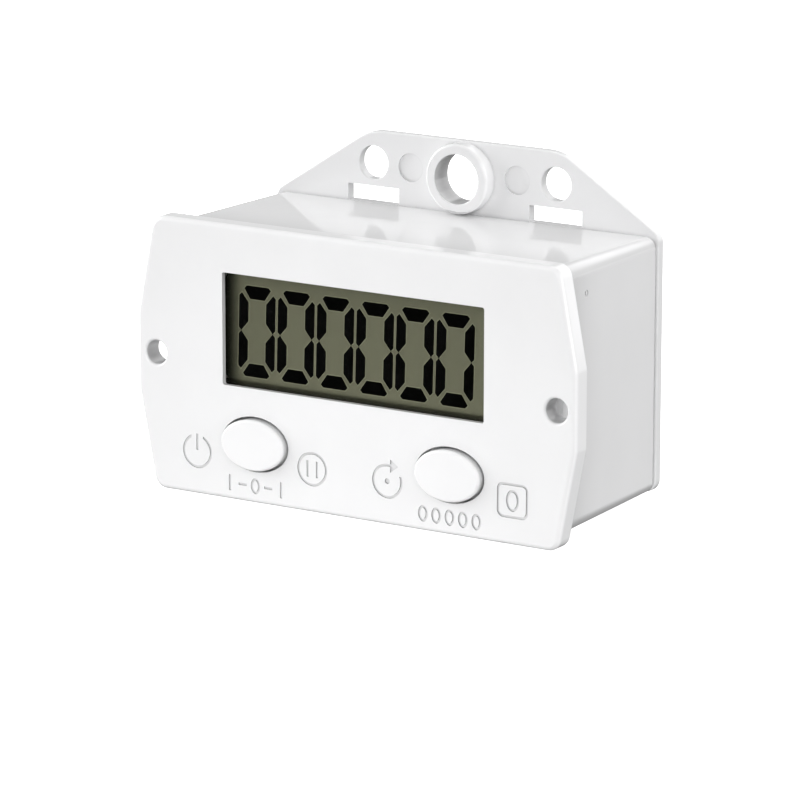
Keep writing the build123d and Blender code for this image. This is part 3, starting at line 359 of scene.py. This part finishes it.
def display_reflector():
    """Brushed reflector film behind the liquid crystal: olive grey with a fine metallic grain."""
    finish = Finish("display_reflector", REFLECTOR, 0.42, Specular_IOR_Level=0.35)
    grain = finish.noise(0.06 * MM, 3.0, finish.stretched((0.25, 1.0, 1.0)))
    cloud = finish.noise(7 * MM, 2.0)
    tone = finish.math("ADD", finish.spread(grain, 0.0, 0.5), finish.spread(cloud, 0.0, 0.5))
    finish.color(finish.mix(tone, scaled(REFLECTOR, 0.90), scaled(REFLECTOR, 1.10)))
    finish.roughness(finish.spread(grain, 0.36, 0.50))
    finish.bump(grain, 0.003 * MM)
    return finish.material


def display_crystal(name):
    """Film of liquid crystal over its reflector: even olive, shaded at its left and lower borders."""
    finish = Finish(name, CRYSTAL, 0.45, Specular_IOR_Level=0.1)
    from_left = finish.fade(finish.along("X"), *(crystal_low.x + distance for distance in LEFT_SHADE))
    from_low = finish.fade(finish.along("Z"), *(crystal_low.z + distance for distance in LOW_SHADE))
    grain = finish.noise(0.05 * MM, 3.0)
    body = finish.mix(finish.spread(grain, 0.0, 1.0), scaled(CRYSTAL, 0.97), scaled(CRYSTAL, 1.03))
    finish.color(finish.mix(finish.math("MULTIPLY", from_left, from_low), CRYSTAL_SHADE, body))
    finish.roughness(finish.spread(grain, 0.40, 0.52))
    finish.bump(grain, 0.002 * MM)
    return finish.material


def display_ink():
    """Switched-on segments: nearly black, with a trace of the reflector's green in patches."""
    finish = Finish("display_ink", INK, 0.5, Specular_IOR_Level=0.02)
    cloud = finish.spread(finish.noise(2 * MM), 0.0, 1.0)
    finish.color(finish.mix(cloud, INK, scaled(INK, 3.0)))
    finish.roughness(finish.spread(finish.noise(0.3 * MM), 0.42, 0.60))
    finish.bump(finish.noise(0.15 * MM), 0.001 * MM)
    return finish.material


def segment_line():
    """Pale edge around each switched-on segment, a little lighter than the film."""
    color = scaled(CRYSTAL, 1.45)
    finish = Finish("segment_line", color, 0.45, Specular_IOR_Level=0.1)
    grain = finish.noise(0.05 * MM, 3.0)
    finish.color(finish.mix(finish.spread(grain, 0.0, 1.0), scaled(color, 0.96), scaled(color, 1.04)))
    finish.roughness(finish.spread(grain, 0.40, 0.52))
    finish.bump(grain, 0.002 * MM)
    return finish.material


def matte_moulding(name, color, size=1.2 * MM):
    """Plain technical plastic or cured resin with a satin, slightly uneven surface."""
    finish = Finish(name, color, 0.5)
    cloud = finish.noise(size, 4.0)
    worn = finish.edges(0.15 * MM)
    body = finish.mix(finish.spread(cloud, 0.0, 1.0), scaled(color, 0.92), scaled(color, 1.08))
    finish.color(finish.mix(finish.math("MULTIPLY", worn, 0.3), body, scaled(color, 1.25)))
    finish.roughness(finish.spread(finish.noise(size / 3), 0.40, 0.62))
    finish.bump(finish.noise(size / 12, 3.0), 0.008 * MM)
    return finish.material


def zebra_rubber():
    """Elastomer strip with fine conductive layers across its length."""
    finish = Finish("zebra_rubber", (0.30, 0.27, 0.25), 0.6)
    wave = finish.add("TexWave", {"Vector": finish.place, "Scale": 900.0, "Distortion": 0.2})
    stripe = finish.spread(wave.outputs["Fac"], 0.0, 1.0, 0.4, 0.6)
    finish.color(finish.mix(stripe, (0.02, 0.02, 0.02), (0.34, 0.30, 0.27)))
    finish.roughness(finish.spread(finish.noise(0.4 * MM), 0.50, 0.70))
    finish.bump(stripe, 0.01 * MM)
    return finish.material


def board_laminate():
    """Circuit board: solder mask over copper tracks, and the glass weave showing through."""
    finish = Finish("board_laminate", BOARD_GREEN, 0.32)
    upright = finish.add("Mapping", {"Vector": finish.place, "Rotation": (math.pi / 2, 0, 0)})
    tracks = finish.add("TexBrick", {
        "Vector": upright.outputs["Vector"],
        "Color1": (0, 0, 0, 1), "Color2": (0, 0, 0, 1), "Mortar": (1, 1, 1, 1),
        "Scale": 120.0, "Mortar Size": 0.05, "Mortar Smooth": 0.1,
    }).outputs["Fac"]
    wave = finish.add("TexWave", {"Vector": finish.place, "Scale": 600.0, "Distortion": 1.0})
    weave = wave.outputs["Fac"]
    mask = finish.mix(finish.spread(weave, 0.0, 0.35), BOARD_GREEN, scaled(BOARD_GREEN, 1.35))
    finish.color(finish.mix(finish.math("MULTIPLY", tracks, 0.6), mask, (0.060, 0.230, 0.070)))
    finish.roughness(finish.spread(finish.noise(0.5 * MM), 0.25, 0.42))
    finish.bump(finish.math("ADD", tracks, finish.math("MULTIPLY", weave, 0.2)), 0.02 * MM)
    return finish.material


def metal(name, color, roughness, grain=(1.0, 1.0, 1.0), size=0.1 * MM):
    """Bare or plated metal with fine drawn or brushed grain and a few dull patches."""
    finish = Finish(name, color, roughness, Metallic=1.0)
    lines = finish.noise(size, 4.0, finish.stretched(grain))
    tarnish = finish.spread(finish.noise(1.5 * MM, 4.0), 0.0, 1.0, 0.5, 0.75)
    finish.color(finish.mix(tarnish, color, scaled(color, 0.78)))
    finish.roughness(finish.math("ADD", finish.spread(lines, roughness * 0.7, roughness * 1.3),
                                 finish.math("MULTIPLY", tarnish, 0.12)))
    finish.bump(lines, 0.004 * MM)
    return finish.material


def sleeve_film(name, color, band, band_start, band_end):
    """Glossy shrink sleeve with one plain band along X, and faint shrink ripples."""
    finish = Finish(name, color, 0.22, Coat_Weight=0.4, Coat_Roughness=0.1)
    cloud = finish.spread(finish.noise(3 * MM), 0.0, 1.0)
    body = finish.mix(cloud, scaled(color, 0.9), scaled(color, 1.1))
    finish.color(finish.mix(finish.between(finish.along("X"), band_start, band_end), body, band))
    finish.roughness(finish.spread(finish.noise(1 * MM), 0.16, 0.32))
    finish.bump(finish.noise(2.5 * MM, 2.0, finish.stretched((0.4, 1.0, 1.0))), 0.02 * MM)
    return finish.material


# ---------------------------------------------------------------- painting the CAD nodes

# the plain band covers the end of the battery's sleeve and the start of the capacitor's
battery_band_start = battery_high.x - BATTERY_BAND * (battery_high.x - battery_low.x)
capacitor_band_end = capacitor_low.x + CAPACITOR_BAND * (capacitor_high.x - capacitor_low.x)

MATERIALS = {
    "white_shell": glossy_white("white_shell", WHITE_PLASTIC),
    "white_button": glossy_white("white_button", WHITE_BUTTON),
    "silicone": rubber("silicone", (0.62, 0.62, 0.60)),
    "carbon_rubber": rubber("carbon_rubber", (0.02, 0.02, 0.02)),
    "polariser_film": clear_layer("polariser_film", (0.004, 0.004, 0.003), 0.05, 0.25, 0.10),
    "display_glass": clear_layer("display_glass", (0.004, 0.006, 0.004), 0.03, 0.06, 0.15),
    "seal_epoxy": display_crystal("seal_epoxy"),
    "display_ink": display_ink(),
    "display_reflector": display_reflector(),
    "inner_frame": matte_moulding("inner_frame", (0.55, 0.55, 0.53)),
    "zebra_rubber": zebra_rubber(),
    "board_laminate": board_laminate(),
    "carbon_print": rubber("carbon_print", (0.015, 0.015, 0.016)),
    "black_epoxy": matte_moulding("black_epoxy", (0.012, 0.012, 0.012), 2.0 * MM),
    "steel": metal("steel", (0.62, 0.62, 0.63), 0.26, (0.2, 1.0, 1.0)),
    "capacitor_sleeve": sleeve_film("capacitor_sleeve", (0.015, 0.02, 0.07), (0.5, 0.5, 0.5),
                                    capacitor_low.x, capacitor_band_end),
    "ceramic_chip": matte_moulding("ceramic_chip", (0.36, 0.22, 0.11), 0.5 * MM),
    "resistor_chip": matte_moulding("resistor_chip", (0.012, 0.012, 0.015), 0.5 * MM),
    "reed_glass": clear_layer("reed_glass", (0.72, 0.88, 0.76), 0.30, 0.06),
    "zinc_screw": metal("zinc_screw", (0.66, 0.67, 0.70), 0.20),
    "battery_label": sleeve_film("battery_label", (0.020, 0.050, 0.160), (0.55, 0.34, 0.10),
                                 battery_band_start, battery_high.x),
    "battery_can": metal("battery_can", (0.58, 0.58, 0.60), 0.30, (0.2, 1.0, 1.0)),
    "nickel_spring": metal("nickel_spring", (0.66, 0.63, 0.56), 0.22),
    "solder": metal("solder", (0.55, 0.56, 0.57), 0.34, size=0.4 * MM),
}

for part in frame["record"]["subparts"]:
    node = frame["nodes"][part["node"]]
    node.material_slots[0].material = MATERIALS[part["material_slot"]]

# ---------------------------------------------------------------- liquid crystal in the display


def add_piece(name, mesh_builder, material):
    """New piece on the casing from a bmesh."""
    mesh = bpy.data.meshes.new(name)
    mesh_builder.to_mesh(mesh)
    mesh_builder.free()
    mesh.materials.append(material)
    piece = bpy.data.objects.new(name, mesh)
    bpy.context.scene.collection.objects.link(piece)
    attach(piece, "casing")
    return piece


def thicken(builder, faces, depth):
    """Turn flat faces that look to the front into closed slabs that reach this far back."""
    grown = bmesh.ops.extrude_face_region(builder, geom=faces)["geom"]
    back = [item for item in grown if isinstance(item, bmesh.types.BMVert)]
    bmesh.ops.translate(builder, verts=back, vec=(0, depth, 0))
    bmesh.ops.recalc_face_normals(builder, faces=builder.faces)


def crystal_film():
    """Film of liquid crystal behind the segments, with rounded corners inside the seal."""
    front = digits_high.y + 3 * FILM_GAP
    depth = seal_high.y - FILM_GAP - front
    builder = bmesh.new()
    corners = []
    for quarter, (x, z) in enumerate(((1, 1), (-1, 1), (-1, -1), (1, -1))):
        centre_x = (crystal_high.x if x > 0 else crystal_low.x) - x * FILM_CORNER
        centre_z = (crystal_high.z if z > 0 else crystal_low.z) - z * FILM_CORNER
        for step in range(FILM_CORNER_STEPS + 1):
            angle = (quarter + step / FILM_CORNER_STEPS) * math.pi / 2
            x_here = centre_x + FILM_CORNER * math.cos(angle)
            z_here = centre_z + FILM_CORNER * math.sin(angle)
            corners.append(builder.verts.new((x_here, front, z_here)))
    thicken(builder, [builder.faces.new(corners)], depth)
    return builder


def segment_outlines():
    """A slightly larger copy of every segment, just behind it, which shows as a thin pale line."""
    # each segment's front face is found in the CAD mesh and made one polygon
    source = bmesh.new()
    source.from_mesh(frame["nodes"]["lcd_digits"].data)
    bmesh.ops.remove_doubles(source, verts=source.verts, dist=FILM_GAP)
    away = [face for face in source.faces if face.normal.y > -0.9]
    bmesh.ops.delete(source, geom=away, context="FACES")
    bmesh.ops.dissolve_limit(source, angle_limit=0.01, verts=source.verts, edges=source.edges)
    builder = bmesh.new()
    front = digits_high.y + FILM_GAP
    for face in source.faces:
        corners = [vert.co.copy() for vert in face.verts]
        grown = []
        for before, here, after in zip(corners[-1:] + corners[:-1], corners, corners[1:] + corners[:1]):
            into, out = (here - before).normalized(), (after - here).normalized()
            # the outward normal of each side is its direction turned about the face's own normal
            side_in, side_out = into.cross(face.normal), out.cross(face.normal)
            miter = (side_in + side_out) / (1 + side_in.dot(side_out))
            place = here + SEGMENT_LINE * miter
            grown.append(builder.verts.new((place.x, front, place.z)))
        builder.faces.new(grown)
    source.free()
    thicken(builder, list(builder.faces), FILM_GAP)
    return builder


add_piece("liquid_crystal_film", crystal_film(), display_crystal("crystal_film"))
add_piece("segment_outlines", segment_outlines(), segment_line())

# ---------------------------------------------------------------- stage, light and camera


def build_floor(height):
    """Wide pale floor under the object that glows evenly, like a light table."""
    finish = Finish("floor", (FLOOR_TONE,) * 3, 0.7, Emission_Strength=FLOOR_GLOW)
    finish.shader.inputs["Emission Color"].default_value = (1, 1, 1, 1)
    tone = finish.spread(finish.noise(0.6, 2.0), 0.0, 1.0)
    finish.color(finish.mix(tone, (FLOOR_TONE - 0.005,) * 3, (FLOOR_TONE + 0.005,) * 3))
    bpy.ops.mesh.primitive_plane_add(size=FLOOR_SIZE, location=(0, 0, height))
    floor = bpy.context.object
    floor.name = "floor"
    floor.data.materials.append(finish.material)
    # the floor neither lights nor shades the object, which gets its light from below from BOUNCES
    floor.visible_diffuse = False
    floor.visible_glossy = False
    floor.visible_shadow = False


def build_sky():
    """Even white surroundings."""
    world = bpy.data.worlds.new("studio")
    world.use_nodes = True
    background = world.node_tree.nodes["Background"]
    background.inputs["Color"].default_value = (1, 1, 1, 1)
    background.inputs["Strength"].default_value = SKY_STRENGTH
    bpy.context.scene.world = world


def add_softbox(name, place, size, power, mirrored=True):
    """Rectangular soft light that faces the object, with or without a mirror image in its gloss."""
    light = bpy.data.lights.new(name, "AREA")
    light.shape = "RECTANGLE"
    light.size, light.size_y = size
    light.energy = power
    lamp = bpy.data.objects.new(name, light)
    lamp.location = place
    lamp.rotation_euler = (-Vector(place)).to_track_quat("-Z", "Y").to_euler()
    lamp.visible_glossy = mirrored
    bpy.context.scene.collection.objects.link(lamp)


def build_camera():
    """Camera on a sphere around the point it looks at."""
    flat = math.cos(CAMERA_ELEVATION)
    back = Vector((
        math.sin(CAMERA_AZIMUTH) * flat,
        -math.cos(CAMERA_AZIMUTH) * flat,
        math.sin(CAMERA_ELEVATION),
    ))
    data = bpy.data.cameras.new("camera")
    data.sensor_width = CAMERA_SENSOR
    data.lens = CAMERA_LENS
    data.clip_start, data.clip_end = CAMERA_CLIP
    camera = bpy.data.objects.new("camera", data)
    camera.location = CAMERA_AIM + CAMERA_DISTANCE * back
    camera.rotation_euler = back.to_track_quat("Z", "Y").to_euler()
    camera.rotation_euler.rotate_axis("Z", CAMERA_ROLL)
    bpy.context.scene.collection.objects.link(camera)
    bpy.context.scene.camera = camera


build_floor(cad_box[0].z)
build_sky()
for softbox in SOFTBOXES:
    add_softbox(*softbox)
for bounce in BOUNCES:
    add_softbox(*bounce, mirrored=False)
build_camera()
bpy.context.scene.view_settings.view_transform = "Standard"
bpy.context.scene.cycles.transparent_max_bounces = CLEAR_BOUNCES
